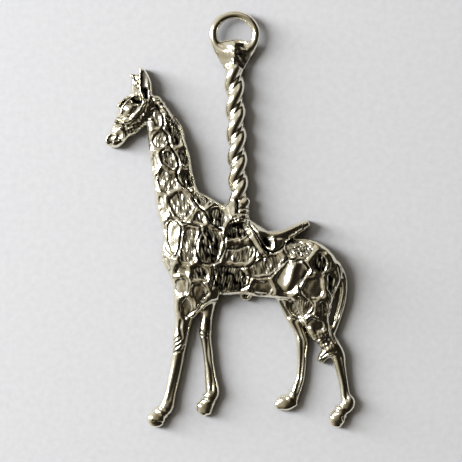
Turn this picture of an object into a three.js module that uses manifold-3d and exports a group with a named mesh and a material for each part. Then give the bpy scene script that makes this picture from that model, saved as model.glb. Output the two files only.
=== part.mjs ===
// A carousel giraffe pendant: giraffe, saddle, twisted pole, cap and ring in one casting.
// It lies on its flat back, with the ring end towards +Y, the head towards -X and the carved face up.
import * as THREE from "three";
import { mergeVertices } from "three/addons/utils/BufferGeometryUtils.js";
import Module from "manifold-3d";

const wasm = await Module();
wasm.setup();

// Driving dimensions, in millimetres.
const figureLength = 76; // from the top of the ring to the lowest hoof
const figureDepth = 5.4; // from the flat back to the crest of the barrel
const ringBore = 6.2;
const ringWire = 1.45;
const ringSquash = 0.93; // height of the ring over its width
const ringSunk = 1.75; // how far the cap's dome fills the foot of the bore
const capWidth = 7.5;
const poleWidth = 3.4; // across the two fat strands
const poleWaist = 2.6; // across the two thin strands
const poleGroove = 2.1; // across two grooves between the strands
const poleTurns = 2.9;
const poleSteps = 33;
const axisHeight = 1.95; // of the pole and ring over the back
const floorGap = 0.15; // least room under the round pole and cap
const reliefDepth = 0.45; // patch floors under the bands
const bandWidth = 0.75; // raised bands between the patches
const strapWidth = 0.95; // the saddle's bright strap
const ridgeWidth = 0.7; // eye rims, nose bands and pastern rings
const backTrim = 0.3; // depth cut away to leave one flat back
const pasternCrest = 2.8; // of the pastern rings over the back
const weld = 1e-4;

// Sections of a limb: a dome over a belt, drawn in below it.
const beltShare = 0.36; // height of the widest line over the limb's crest
const domeFullness = 0.86; // under 1 gives a flatter crest and fuller sides
const backShare = 0.82; // width at the back over the width at the belt
const endReach = 0.5; // how far a blunt end runs past the last station, over its half width
const endShrink = 0.7; // size of that end over the last station's
const bodyPoints = 7; // of the dome, in a section of the body
const limbPoints = 6;
const ridgePoints = 4;

// Places on the figure are hundredths of its length from its middle, across to +X and up to +Y.
const share = figureLength / 100;
const place = ([across, up]) => new THREE.Vector2(across * share, up * share);

// Each station of a limb is its place, its half width in the same hundredths and its crest as a
// share of figureDepth.
const bodyLimbs = {
  neck: [
    [-18.8, 28.5, 2.0, 0.7],
    [-17.2, 24.5, 3.1, 0.76],
    [-15.7, 19.9, 4.2, 0.8],
    [-14.5, 14.9, 4.8, 0.83],
    [-13.6, 9.6, 4.9, 0.87],
    [-12.4, 4.2, 5.6, 0.92],
    [-9.5, -0.6, 7.5, 0.96],
    [-7.3, -5.3, 8.6, 1.0],
  ],
  torso: [
    [-14.3, -9.3, 3.6, 0.8],
    [-13.0, -8.9, 8.2, 0.9],
    [-9.7, -8.2, 11.3, 0.97],
    [-5.6, -8.2, 11.8, 1.0],
    [-1.6, -8.1, 10.7, 1.0],
    [1.4, -8.9, 9.7, 1.0],
    [4.3, -9.8, 8.7, 1.0],
    [7.4, -11.0, 7.7, 1.0],
    [11.0, -11.9, 7.0, 1.0],
    [14.2, -12.1, 7.0, 1.0],
    [17.6, -11.8, 7.2, 1.0],
    [21.1, -13.4, 6.3, 0.95],
    [23.9, -14.6, 4.9, 0.82],
  ],
  shoulder: [
    [-9.0, -10.1, 6.9, 1.0],
    [-9.2, -15.6, 4.8, 0.98],
    [-9.8, -19.3, 3.8, 0.88],
    [-10.6, -22.1, 2.8, 0.7],
  ],
  haunch: [
    [18.2, -10.8, 6.0, 1.0],
    [19.4, -15.6, 5.6, 1.0],
    [20.0, -20.5, 4.6, 0.95],
    [20.6, -24.5, 3.2, 0.8],
    [21.8, -27.9, 2.5, 0.66],
  ],
};

const plainLimbs = {
  head: [
    [-29.1, 18.3, 1.2, 0.48],
    [-28.3, 18.9, 2.0, 0.58],
    [-26.9, 20.1, 2.2, 0.62],
    [-26.1, 21.7, 2.4, 0.66],
    [-24.8, 23.0, 3.2, 0.72],
    [-23.4, 25.2, 3.9, 0.78],
    [-21.7, 27.1, 3.9, 0.8],
    [-20.0, 28.8, 2.6, 0.7],
  ],
  nearEar: [
    [-20.3, 28.3, 1.2, 0.74],
    [-20.4, 30.7, 1.25, 0.76],
    [-20.7, 33.2, 1.0, 0.68],
    [-21.3, 35.8, 0.4, 0.52],
  ],
  horn: [
    [-22.6, 29.8, 1.5, 0.7],
    [-22.8, 32.8, 1.1, 0.58],
    [-22.8, 35.2, 1.1, 0.56],
  ],
  mane: [
    [-18.1, 29.9, 0.45, 0.4],
    [-16.8, 27.6, 0.85, 0.5],
    [-15.2, 25.4, 0.85, 0.52],
    [-13.3, 23.0, 0.85, 0.54],
    [-12.2, 21.4, 0.8, 0.52],
    [-11.6, 18.6, 0.6, 0.45],
  ],
  foreLegNear: [
    [-10.4, -19.7, 3.4, 0.8],
    [-11.2, -23.6, 2.3, 0.62],
    [-11.7, -26.7, 1.9, 0.58],
    [-12.1, -29.3, 1.8, 0.6],
    [-12.4, -31.5, 1.55, 0.52],
    [-12.9, -34.6, 1.5, 0.48],
    [-13.7, -38.5, 1.45, 0.47],
    [-14.5, -42.1, 1.4, 0.47],
    [-15.2, -44.7, 1.7, 0.52],
    [-16.0, -46.2, 1.5, 0.46],
  ],
  foreLegFar: [
    [-5.2, -17.5, 2.4, 0.56],
    [-5.6, -23.1, 1.45, 0.5],
    [-6.0, -26.9, 1.55, 0.54],
    [-5.8, -29.1, 1.3, 0.46],
    [-5.4, -32.0, 1.25, 0.44],
    [-5.1, -35.1, 1.25, 0.44],
    [-4.7, -38.5, 1.5, 0.46],
    [-4.3, -41.6, 1.7, 0.5],
    [-5.0, -43.5, 1.35, 0.44],
  ],
  hindLegFar: [
    [13.4, -18.0, 2.6, 0.58],
    [15.2, -23.2, 2.1, 0.52],
    [16.6, -26.9, 1.4, 0.48],
    [17.2, -29.8, 1.5, 0.5],
    [17.2, -32.2, 1.25, 0.44],
    [17.1, -35.1, 1.15, 0.42],
    [16.8, -38.2, 1.1, 0.42],
    [16.0, -40.6, 1.2, 0.46],
    [15.1, -42.8, 1.3, 0.44],
  ],
  hindLegNear: [
    [20.6, -24.5, 3.1, 0.76],
    [21.9, -27.4, 2.4, 0.64],
    [24.2, -30.3, 2.2, 0.6],
    [25.9, -32.7, 1.75, 0.54],
    [26.4, -35.3, 1.45, 0.48],
    [27.1, -38.7, 1.2, 0.45],
    [27.6, -42.1, 1.3, 0.46],
    [28.2, -44.2, 1.9, 0.52],
    [26.7, -46.2, 1.5, 0.46],
  ],
  tail: [
    [25.0, -11.0, 1.3, 0.62],
    [26.6, -13.2, 1.15, 0.58],
    [27.1, -16.1, 1.1, 0.54],
    [26.8, -19.3, 1.1, 0.5],
    [26.1, -22.4, 1.0, 0.46],
    [25.2, -25.3, 0.9, 0.44],
    [24.1, -28.1, 0.9, 0.44],
  ],
  tuft: [
    [24.9, -30.8, 1.2, 0.56],
    [23.5, -31.8, 1.4, 0.58],
    [22.4, -32.8, 1.2, 0.56],
    [21.6, -34.0, 0.9, 0.5],
  ],
  foreHoofNear: [
    [-16.6, -45.9, 1.4, 0.4],
    [-17.2, -46.9, 1.8, 0.46],
    [-17.8, -48.2, 2.3, 0.5],
    [-17.8, -49.1, 1.8, 0.44],
  ],
  foreHoofFar: [
    [-4.9, -43.4, 1.3, 0.4],
    [-5.6, -44.5, 1.8, 0.46],
    [-6.4, -45.6, 2.1, 0.48],
    [-6.9, -46.3, 1.5, 0.42],
  ],
  hindHoofFar: [
    [15.3, -44.8, 1.0, 0.42],
    [14.2, -44.5, 1.5, 0.46],
    [12.9, -44.5, 1.6, 0.46],
    [11.3, -44.6, 1.0, 0.38],
  ],
  hindHoofNear: [
    [26.4, -45.9, 1.3, 0.4],
    [25.9, -47.1, 1.8, 0.48],
    [25.6, -48.2, 2.0, 0.5],
    [25.3, -49.2, 1.6, 0.42],
  ],
  seat: [
    [5.6, -2.6, 0.8, 0.8],
    [7.6, -4.6, 2.0, 0.86],
    [9.5, -5.2, 2.5, 0.9],
    [11.5, -4.5, 2.1, 0.9],
    [13.6, -3.2, 1.2, 0.86],
    [16.0, -1.8, 0.85, 0.8],
    [18.7, -0.5, 0.55, 0.7],
  ],
  poleFoot: [
    [1.7, 5.2, 1.9, 0.62],
    [1.6, 3.8, 2.6, 0.74],
    [1.5, 2.6, 3.1, 0.84],
    [1.6, 1.5, 3.1, 0.9],
    [2.0, -0.4, 2.6, 0.98],
  ],
};

// Knobs: place, radius in hundredths, and height of the middle as a share of figureDepth.
const knobs = {
  footBead: [3.6, 4.2, 1.15, 0.52],
  bellyNub: [3.4, -18.9, 1.15, 0.4],
  tuftKnob: [21.6, -28.7, 0.85, 0.5],
  eyeball: [-24.2, 26.0, 1.5, 0.58],
};

// Thin ridges, each along a few places, with the crest as a share of figureDepth.
const ridges = {
  upperEyeRim: [0.84, [-26.4, 26.6], [-24.9, 28.4], [-23.0, 29.9], [-21.0, 28.9]],
  lowerEyeRim: [0.88, [-20.8, 28.4], [-21.4, 26.4], [-23.2, 24.4], [-25.2, 23.0]],
  noseBandUpper: [0.76, [-27.6, 23.5], [-26.5, 23.2], [-25.4, 22.8]],
  noseBandLower: [0.74, [-27.4, 22.5], [-26.2, 22.2], [-25.2, 21.8]],
  nostrilRim: [0.66, [-29.3, 18.9], [-29.2, 20.4], [-28.0, 21.2], [-27.2, 20.4], [-28.0, 19.0]],
};
const strapCrest = 1.02;
const strapPlaces = [
  [3.7, -0.4],
  [6.0, -4.4],
  [8.9, -8.9],
];

// Pastern rings run across the legs above the hooves, from edge to edge.
const pasternRings = [
  [[-17.0, -44.6], [-14.6, -46.3]],
  [[-17.8, -45.6], [-15.5, -47.4]],
  [[-6.5, -42.0], [-3.5, -43.2]],
  [[-6.8, -43.2], [-3.9, -44.5]],
  [[13.9, -41.4], [16.3, -43.2]],
  [[13.2, -42.3], [15.4, -44.0]],
  [[25.1, -45.5], [28.3, -46.0]],
  [[24.7, -46.6], [27.8, -47.0]],
];

// The hide's patches: middle, half length and half width in hundredths, and turn in degrees.
const neckPatches = [
  [-17.6, 24.2, 2.5, 1.3, 101],
  [-13.5, 20.9, 3.8, 1.8, 105],
  [-16.8, 18.9, 2.5, 2.2, 60],
  [-14.7, 14.3, 2.8, 1.8, 117],
  [-11.2, 14.6, 2.6, 1.2, 115],
  [-18.2, 13.4, 2.5, 1.2, 95],
  [-15.0, 9.1, 3.5, 2.5, 119],
  [-9.9, 9.2, 2.3, 1.9, 125],
  [-16.3, 3.3, 2.8, 1.3, 100],
  [-11.8, 3.3, 4.0, 3.1, 125],
  [-7.3, 0.4, 2.0, 1.7, 150],
  [-6.9, 5.0, 2.4, 1.9, 140],
  [-3.1, 0.3, 2.9, 2.4, 110],
];
const shoulderPatches = [
  [-13.9, -4.4, 4.4, 1.4, 95],
  [-9.7, -6.2, 4.8, 2.4, 79],
  [-4.8, -6.2, 4.8, 3.3, 90],
  [1.5, -2.9, 2.9, 2.4, 0],
  [2.0, -8.3, 4.1, 2.9, 5],
  [-15.4, -10.8, 2.5, 1.5, 100],
  [-11.6, -12.3, 2.1, 1.3, 0],
  [-7.3, -12.9, 2.5, 2.1, 0],
  [-11.8, -16.0, 2.4, 2.1, 90],
  [0.0, -14.0, 4.8, 3.6, -4],
  [-7.6, -17.8, 2.8, 2.1, 90],
  [-10.3, -20.7, 2.3, 1.6, 90],
];
const haunchPatches = [
  [8.1, -11.3, 4.6, 2.4, 18],
  [14.6, -13.7, 4.8, 3.1, 54],
  [16.5, -7.2, 3.6, 2.2, -20],
  [21.4, -10.6, 2.8, 2.1, 115],
  [7.6, -16.9, 3.1, 2.3, 5],
  [19.6, -16.4, 3.1, 3.0, 90],
  [23.9, -15.2, 3.0, 1.2, 95],
  [22.3, -21.3, 2.2, 1.5, 90],
  [17.1, -20.9, 3.0, 2.7, 60],
  [20.2, -25.1, 2.4, 1.6, -10],
];
const patches = [...neckPatches, ...shoulderPatches, ...haunchPatches];
const patchCorners = 10;
const patchSearch = 12; // halvings that find each corner's reach
const patchSquareness = 2.6; // exponent of each patch's rounded outline
const patchFloor = 0.4; // lowest height of a patch cut, as a share of figureDepth

// Places of the pole, cap and ring along the figure.
const poleTop = [0.9, 36.4];
const poleEnd = [1.9, 2.0];
const capTop = [1.0, 43.0];

// Half angles of the pole's strands, in degrees.
const fatSpread = 18;
const thinSpread = 12;

// The cap's outline, each entry a share of its length up from the pole and the half width there,
// first in the pole's own half widths and then in the cap's.
const capNeck = [
  [-0.08, 0.95],
  [0.03, 1.1],
];
const capSkirt = [
  [0.12, 0.62],
  [0.3, 0.76],
  [0.48, 0.88],
  [0.66, 1.0],
  [0.8, 0.97],
  [0.93, 0.52],
  [1.0, 0.24],
];

// Facets round the knobs, the cap and the ring.
const knobSides = 10;
const knobRows = 6;
const capSides = 12;
const wireSides = 8;
const ringSides = 24;

// Turns a closed geometry into a solid.
function solid(geometry) {
  const bare = geometry.clone();
  bare.deleteAttribute("normal");
  bare.deleteAttribute("uv");
  const merged = mergeVertices(bare, weld);
  return new wasm.Manifold(
    new wasm.Mesh({
      numProp: 3,
      vertProperties: merged.attributes.position.array,
      triVerts: new Uint32Array(merged.index.array),
    }),
  );
}

// Joins rings of as many points each into one skin, with both ends closed by a fan.
function skin(rings) {
  const sides = rings[0].length;
  const points = rings.flat();
  const faces = [];
  for (let r = 0; r + 1 < rings.length; r++)
    for (let k = 0; k < sides; k++) {
      const a = r * sides + k;
      const b = r * sides + ((k + 1) % sides);
      faces.push(a, b, a + sides, b, b + sides, a + sides);
    }
  const close = (ring, first, flip) => {
    const middle = ring.reduce((sum, p) => sum.add(p), new THREE.Vector3()).divideScalar(sides);
    const hub = points.push(middle) - 1;
    for (let k = 0; k < sides; k++) {
      const edge = [first + k, first + ((k + 1) % sides)];
      faces.push(hub, ...(flip ? edge.reverse() : edge));
    }
  };
  close(rings[0], 0, true);
  close(rings.at(-1), (rings.length - 1) * sides, false);
  return new THREE.BufferGeometry().setFromPoints(points).setIndex(faces);
}

// Half of a domed section, run from one side of the back over the crest to the other.
function domeSection(halfWidth, crest, belt, domePoints) {
  const points = [[-halfWidth * backShare, -backTrim]];
  for (let k = 0; k < domePoints; k++) {
    const turn = (Math.PI * k) / (domePoints - 1);
    const out = Math.abs(Math.cos(turn)) ** domeFullness;
    const rise = Math.sin(turn) ** domeFullness;
    points.push([-Math.sign(Math.cos(turn)) * out * halfWidth, belt + (crest - belt) * rise]);
  }
  points.push([halfWidth * backShare, -backTrim]);
  return points;
}

// A limb with a flat back and blunt ends, its stations joined by a smooth curve.
function limb(stations, { domePoints = limbPoints, inset = 0 } = {}) {
  const spine = new THREE.CatmullRomCurve3(
    stations.map((s) => new THREE.Vector3(s[0] * share, s[1] * share, 0)),
  );
  const sizes = new THREE.CatmullRomCurve3(
    stations.map((s) => new THREE.Vector3(s[2] * share, s[3] * figureDepth, 0)),
  );
  const spans = stations.length - 1;
  const ring = (t, along, shrink) => {
    const middle = spine.getPoint(t);
    const ahead = spine.getTangent(t);
    const { x: width, y: crest } = sizes.getPoint(t);
    const belt = crest * beltShare;
    const halfWidth = (width - inset) * shrink;
    const top = belt + (crest - inset - belt) * shrink;
    return domeSection(halfWidth, top, belt, domePoints).map(
      ([u, z]) =>
        new THREE.Vector3(
          middle.x + ahead.x * along * width + ahead.y * u,
          middle.y + ahead.y * along * width - ahead.x * u,
          z,
        ),
    );
  };
  const rings = [ring(0, -endReach, endShrink)];
  for (let k = 0; k <= spans; k++) rings.push(ring(k / spans, 0, 1));
  rings.push(ring(1, endReach, endShrink));
  return solid(skin(rings));
}

// A round knob, half sunk in what it sits on.
function knob([across, up, radius, height]) {
  const ball = new THREE.SphereGeometry(radius * share, knobSides, knobRows);
  const at = place([across, up]);
  return solid(ball.translate(at.x, at.y, height * figureDepth));
}

// A thin ridge, its crest a share of figureDepth.
function ridge(crest, places, width) {
  const halfWidth = width / 2 / share;
  const stations = places.map(([across, up]) => [across, up, halfWidth, crest]);
  return limb(stations, { domePoints: ridgePoints });
}

// How far a place lies inside a patch's own rounded outline, in hundredths.
function insideOf([across, up, halfLength, halfWidth, turn], x, y) {
  const angle = THREE.MathUtils.degToRad(turn);
  const along = ((x - across) * Math.cos(angle) + (y - up) * Math.sin(angle)) / halfLength;
  const aside = ((y - up) * Math.cos(angle) - (x - across) * Math.sin(angle)) / halfWidth;
  const power = Math.abs(along) ** patchSquareness + Math.abs(aside) ** patchSquareness;
  return (1 - power ** (1 / patchSquareness)) * Math.min(halfLength, halfWidth);
}

// A patch's prism: it grows from its middle until it meets its outline or the band to a neighbour.
function patchPrism(patch) {
  const [across, up, halfLength, , turn] = patch;
  const halfBand = bandWidth / 2 / share;
  const neighbours = patches.filter((other) => other !== patch);
  const clear = (x, y) => {
    const own = insideOf(patch, x, y);
    const nearest = Math.max(...neighbours.map((other) => insideOf(other, x, y)));
    return Math.min(own, (own - nearest) / 2 - halfBand);
  };
  const outline = [];
  for (let k = 0; k < patchCorners; k++) {
    const angle = THREE.MathUtils.degToRad(turn) + (2 * Math.PI * k) / patchCorners;
    const reached = (far) => [across + far * Math.cos(angle), up + far * Math.sin(angle)];
    let near = 0;
    let far = halfLength;
    for (let i = 0; i < patchSearch; i++) {
      const middle = (near + far) / 2;
      if (clear(...reached(middle)) > 0) near = middle;
      else far = middle;
    }
    outline.push(place(reached(near)));
  }
  const foot = patchFloor * figureDepth;
  const prism = new THREE.ExtrudeGeometry(new THREE.Shape(outline), {
    depth: 2 * figureDepth,
    bevelEnabled: false,
  });
  return solid(prism.translate(0, 0, foot));
}

const joined = (solids) => solids.reduce((all, one) => all.add(one));

// The hide: a full body with the patches sunk to a slightly smaller one.
function hide() {
  const limbs = Object.values(bodyLimbs);
  const body = (inset) =>
    joined(limbs.map((stations) => limb(stations, { domePoints: bodyPoints, inset })));
  const cuts = joined(patches.map(patchPrism)).subtract(body(reliefDepth));
  return body(0).subtract(cuts);
}

// The twisted pole: two fat strands wound with two thin ones, with a groove between each two.
function pole() {
  const top = place(poleTop);
  const end = place(poleEnd);
  const fat = [poleWidth / 2, THREE.MathUtils.degToRad(fatSpread)];
  const thin = [poleWaist / 2, THREE.MathUtils.degToRad(thinSpread)];
  const section = [fat, thin, fat, thin].flatMap(([radius, spread], quarter) => {
    const crest = (Math.PI / 2) * quarter;
    return [
      [radius, crest - spread],
      [radius, crest + spread],
      [poleGroove / 2, crest + Math.PI / 4],
    ];
  });
  const rings = [];
  for (let r = 0; r <= poleSteps; r++) {
    const t = r / poleSteps;
    const middle = end.clone().lerp(top, t);
    const twist = 2 * Math.PI * poleTurns * t;
    const around = ([radius, angle]) =>
      new THREE.Vector3(
        middle.x + radius * Math.cos(angle + twist),
        middle.y,
        axisHeight - radius * Math.sin(angle + twist),
      );
    rings.push(section.map(around));
  }
  return solid(skin(rings));
}

// The cap: a flattened cone that spreads from the pole to the ring.
function cap() {
  const top = place(capTop);
  const bottom = place(poleTop);
  const scaled = (entries, width) => entries.map(([t, half]) => [t, (half * width) / 2]);
  const profile = [...scaled(capNeck, poleWidth), ...scaled(capSkirt, capWidth)];
  const depthLimit = axisHeight - floorGap;
  const rings = profile.map(([t, half]) => {
    const middle = bottom.clone().lerp(top, t);
    return Array.from({ length: capSides }, (_, k) => {
      const angle = (2 * Math.PI * k) / capSides;
      return new THREE.Vector3(
        middle.x + half * Math.cos(angle),
        middle.y,
        axisHeight - Math.min(half, depthLimit) * Math.sin(angle),
      );
    });
  });
  return solid(skin(rings));
}

// The ring stands on the cap, its bore cleared by the cap's dome.
function ring() {
  const radius = (ringBore + ringWire) / 2;
  const torus = new THREE.TorusGeometry(radius, ringWire / 2, wireSides, ringSides);
  torus.scale(1, ringSquash, 1);
  const at = place(capTop);
  const lift = (ringBore / 2) * ringSquash - ringSunk;
  return solid(torus.translate(at.x, at.y + lift, axisHeight));
}

// Everything, trimmed to one flat back and set with its middle at the origin.
function pendant() {
  const solids = [
    hide(),
    ...Object.values(plainLimbs).map((stations) => limb(stations)),
    ...Object.values(knobs).map(knob),
    ...Object.values(ridges).map(([crest, ...places]) => ridge(crest, places, ridgeWidth)),
    ...pasternRings.map((places) => ridge(pasternCrest / figureDepth, places, ridgeWidth)),
    ridge(strapCrest, strapPlaces, strapWidth),
    pole(),
    cap(),
    ring(),
  ];
  const bench = new THREE.BoxGeometry(2 * figureLength, 2 * figureLength, figureDepth);
  const cast = joined(solids).subtract(solid(bench.translate(0, 0, -figureDepth / 2)));
  const mesh = cast.getMesh();
  const geometry = new THREE.BufferGeometry();
  geometry.setAttribute("position", new THREE.BufferAttribute(mesh.vertProperties, 3));
  geometry.setIndex(new THREE.BufferAttribute(mesh.triVerts, 1));
  geometry.computeBoundingBox();
  const middle = geometry.boundingBox.getCenter(new THREE.Vector3());
  return geometry.translate(-middle.x, -middle.y, 0);
}

const castMetal = new THREE.MeshStandardMaterial({ color: 0xc8c5bc, metalness: 1, roughness: 0.22 });
const giraffePendant = new THREE.Mesh(pendant(), castMetal);
giraffePendant.name = "giraffe_pendant";

const part = new THREE.Group();
part.add(giraffePendant);

export default part;
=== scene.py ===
import math

import bpy
import numpy as np
import openvdb
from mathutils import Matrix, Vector


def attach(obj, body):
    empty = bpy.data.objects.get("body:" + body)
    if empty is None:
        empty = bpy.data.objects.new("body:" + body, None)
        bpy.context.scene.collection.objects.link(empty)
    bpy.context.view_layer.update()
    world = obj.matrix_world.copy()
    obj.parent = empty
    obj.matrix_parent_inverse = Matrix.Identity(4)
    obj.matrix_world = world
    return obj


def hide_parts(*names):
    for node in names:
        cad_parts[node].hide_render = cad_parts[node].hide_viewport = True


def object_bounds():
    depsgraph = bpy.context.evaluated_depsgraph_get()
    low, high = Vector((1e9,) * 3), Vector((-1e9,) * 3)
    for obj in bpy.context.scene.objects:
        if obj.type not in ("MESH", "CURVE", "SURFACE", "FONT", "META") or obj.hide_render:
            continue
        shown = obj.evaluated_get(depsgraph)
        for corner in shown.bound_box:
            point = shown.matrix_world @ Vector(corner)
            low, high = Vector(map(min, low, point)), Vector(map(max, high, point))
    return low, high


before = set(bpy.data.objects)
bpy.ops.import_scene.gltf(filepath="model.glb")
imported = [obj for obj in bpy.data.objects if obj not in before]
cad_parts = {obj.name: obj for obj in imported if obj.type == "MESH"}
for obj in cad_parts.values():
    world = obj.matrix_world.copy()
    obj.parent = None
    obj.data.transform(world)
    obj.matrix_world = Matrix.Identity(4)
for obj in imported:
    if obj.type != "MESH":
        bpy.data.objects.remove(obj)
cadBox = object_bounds()
print("frame loaded")

# Everything below is worked out in millimetres, and made metres when a mesh is built.
toMetres = 0.001
figure = {
    "length": 76.0,  # top of the ring to the lowest hoof
    "depth": 5.0,  # a crest of 1 over the back, which the melting of limbs lifts a little
    "shiftX": 0.006,  # from the middle of the places to the middle of the casting
    "shiftY": 0.087,
    "axisHeight": 1.95,  # of the pole, cap and ring over the back
    "grain": 0.16,  # size of the cells that the casting is worked out in
    "fullness": 2.9,  # exponent of a limb's domed section
    "bodyFullness": 4.2,
    "belt": 0.36,  # height of the widest line over the crest
    "undercut": 1.55,  # how slowly the sides draw in below the belt
    "endReach": 0.5,  # of a blunt end past the last station, over its half width
    "roomLow": (-23.6, -38.8, -0.5), "roomHigh": (23.6, 38.8, 6.1),  # that the cells fill
    "evenings": 5,  # rounds of smoothing of the skin before it is carved
    "hollowEvenings": 3,  # and of the copy that tells which places lie hollow
    "flatUnder": 0.09,  # what lies lower than this is laid on the plane of the back
    "triangles": 196000,  # in the finished mesh
}
share = figure["length"] / 100


def place(points):
    points = np.asarray(points, float)
    return points * share + np.array([figure["shiftX"], figure["shiftY"]])


# Each station is its place, half width in hundredths, and crest as a share of the depth.
bodyLimbs = {
    "neck": (
        (-18.8, 28.5, 2.0, 0.7), (-17.2, 24.5, 3.1, 0.76), (-15.7, 19.9, 4.2, 0.8),
        (-14.5, 14.9, 4.8, 0.83), (-13.6, 9.6, 4.9, 0.87), (-12.4, 4.2, 5.6, 0.92),
        (-9.5, -0.6, 7.5, 0.96), (-7.3, -5.3, 8.6, 1.0)),
    "torso": (
        (-14.3, -9.3, 3.6, 0.8), (-13.0, -8.9, 8.2, 0.9), (-9.7, -8.2, 11.3, 0.97),
        (-5.6, -8.2, 11.8, 1.0), (-1.6, -8.1, 10.7, 1.0), (1.4, -8.9, 9.7, 1.0), (4.3, -9.8, 8.7, 1.0),
        (7.4, -11.0, 7.7, 1.0), (11.0, -11.9, 7.0, 1.0), (14.2, -12.1, 7.0, 1.0),
        (17.6, -11.8, 7.2, 1.0), (21.1, -13.4, 6.3, 0.95), (23.9, -14.6, 4.9, 0.82)),
    "shoulder": (
        (-9.0, -10.1, 6.9, 1.0), (-9.2, -15.6, 4.8, 0.98), (-9.8, -19.3, 3.8, 0.88),
        (-10.6, -22.1, 2.8, 0.7)),
    "haunch": (
        (18.2, -10.8, 6.0, 1.0), (19.4, -15.6, 5.6, 1.0), (20.0, -20.5, 4.6, 0.95),
        (20.6, -24.5, 3.2, 0.8), (21.8, -27.9, 2.5, 0.66)),
}
plainLimbs = {
    "head": (
        (-29.1, 18.3, 1.2, 0.48), (-28.3, 18.9, 2.0, 0.58), (-26.9, 20.1, 2.2, 0.62),
        (-26.1, 21.7, 2.4, 0.66), (-24.8, 23.0, 3.2, 0.72), (-23.4, 25.2, 3.9, 0.78),
        (-21.7, 27.1, 3.9, 0.8), (-20.0, 28.8, 2.6, 0.7)),
    "jaw": (
        (-25.2, 20.9, 1.3, 0.56), (-24.3, 21.5, 1.45, 0.6), (-22.4, 23.0, 1.5, 0.66),
        (-20.8, 24.7, 1.5, 0.68)),
    "nearEar": (
        (-20.1, 28.3, 1.35, 0.74), (-20.1, 30.7, 1.5, 0.76), (-20.3, 33.2, 1.3, 0.7),
        (-21.1, 35.9, 0.62, 0.56)),
    "horn": (
        (-22.6, 29.8, 1.5, 0.7), (-22.8, 32.6, 0.95, 0.56), (-22.9, 34.5, 0.95, 0.52)),
    "mane": (
        (-18.1, 29.9, 0.45, 0.4), (-16.8, 27.6, 0.85, 0.5), (-15.2, 25.4, 0.85, 0.52),
        (-13.3, 23.0, 0.85, 0.54), (-12.2, 21.4, 0.8, 0.52), (-11.6, 18.6, 0.6, 0.45)),
    "foreLegNear": (
        (-10.4, -19.7, 3.4, 0.8), (-11.2, -23.6, 2.3, 0.62), (-11.7, -26.7, 1.9, 0.58),
        (-12.1, -29.3, 1.8, 0.6), (-12.4, -31.5, 1.55, 0.52), (-12.9, -34.6, 1.5, 0.48),
        (-13.7, -38.5, 1.45, 0.47), (-14.5, -42.1, 1.4, 0.47), (-15.2, -44.7, 1.7, 0.52),
        (-16.0, -46.2, 1.5, 0.46)),
    "foreLegFar": (
        (-5.2, -17.5, 2.4, 0.56), (-5.6, -23.1, 1.45, 0.5), (-6.0, -26.9, 1.55, 0.54),
        (-5.8, -29.1, 1.3, 0.46), (-5.4, -32.0, 1.25, 0.44), (-5.1, -35.1, 1.25, 0.44),
        (-4.7, -38.5, 1.5, 0.46), (-4.3, -41.6, 1.7, 0.5), (-5.0, -43.5, 1.35, 0.44)),
    "hindLegFar": (
        (13.4, -18.0, 2.6, 0.58), (15.2, -23.2, 2.1, 0.52), (16.6, -26.9, 1.4, 0.48),
        (17.2, -29.8, 1.5, 0.5), (17.2, -32.2, 1.25, 0.44), (17.1, -35.1, 1.15, 0.42),
        (16.8, -38.2, 1.1, 0.42), (16.0, -40.6, 1.2, 0.46), (15.1, -42.8, 1.3, 0.44)),
    "hindLegNear": (
        (20.6, -24.5, 3.1, 0.76), (21.9, -27.4, 2.4, 0.64), (24.2, -30.3, 2.2, 0.6),
        (25.9, -32.7, 1.75, 0.54), (26.4, -35.3, 1.45, 0.48), (27.1, -38.7, 1.2, 0.45),
        (27.6, -42.1, 1.3, 0.46), (28.2, -44.2, 1.9, 0.52), (26.7, -46.2, 1.5, 0.46)),
    "tail": (
        (25.0, -11.0, 1.3, 0.62), (26.6, -13.2, 1.15, 0.58), (27.1, -16.1, 1.1, 0.54),
        (26.8, -19.3, 1.1, 0.5), (26.1, -22.4, 1.0, 0.46), (25.2, -25.3, 0.9, 0.44),
        (24.1, -28.1, 0.9, 0.44)),
    "tuft": (
        (24.9, -30.8, 1.2, 0.56), (23.5, -31.8, 1.4, 0.58), (22.4, -32.8, 1.2, 0.56),
        (21.6, -34.0, 0.9, 0.5)),
    "foreHoofNear": (
        (-16.6, -45.9, 1.4, 0.4), (-17.2, -46.9, 1.8, 0.46), (-17.8, -48.2, 2.3, 0.5),
        (-17.8, -49.1, 1.8, 0.44)),
    "foreHoofFar": (
        (-4.9, -43.4, 1.3, 0.4), (-5.6, -44.5, 1.8, 0.46), (-6.4, -45.6, 2.1, 0.48),
        (-6.9, -46.3, 1.5, 0.42)),
    "hindHoofFar": (
        (15.6, -43.9, 1.2, 0.42), (14.3, -44.0, 1.8, 0.46), (12.8, -44.2, 1.9, 0.46),
        (11.3, -44.8, 1.2, 0.4)),
    "hindHoofNear": (
        (26.4, -45.9, 1.3, 0.4), (25.9, -47.1, 1.8, 0.48), (25.6, -48.2, 2.0, 0.5),
        (25.3, -49.2, 1.6, 0.42)),
    "seat": (
        (5.6, -2.6, 0.8, 0.8), (7.6, -4.6, 2.0, 0.86), (9.5, -5.2, 2.5, 0.9), (11.5, -4.6, 2.2, 0.9),
        (13.6, -3.5, 1.6, 0.86), (16.0, -2.2, 1.35, 0.8), (18.5, -1.0, 1.0, 0.72)),
    "poleFoot": (
        (1.7, 5.2, 1.9, 0.62), (1.6, 3.8, 2.6, 0.74), (1.5, 2.6, 3.1, 0.84), (1.6, 1.5, 3.1, 0.9),
        (2.0, -0.4, 2.6, 0.98)),
}
# How widely a limb melts into the rest, in millimetres.
melt = {"body": 1.2, "limb": 0.5, "ridge": 0.22, "knob": 0.2, "cap": 0.5, "ring": 0.9}

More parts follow.
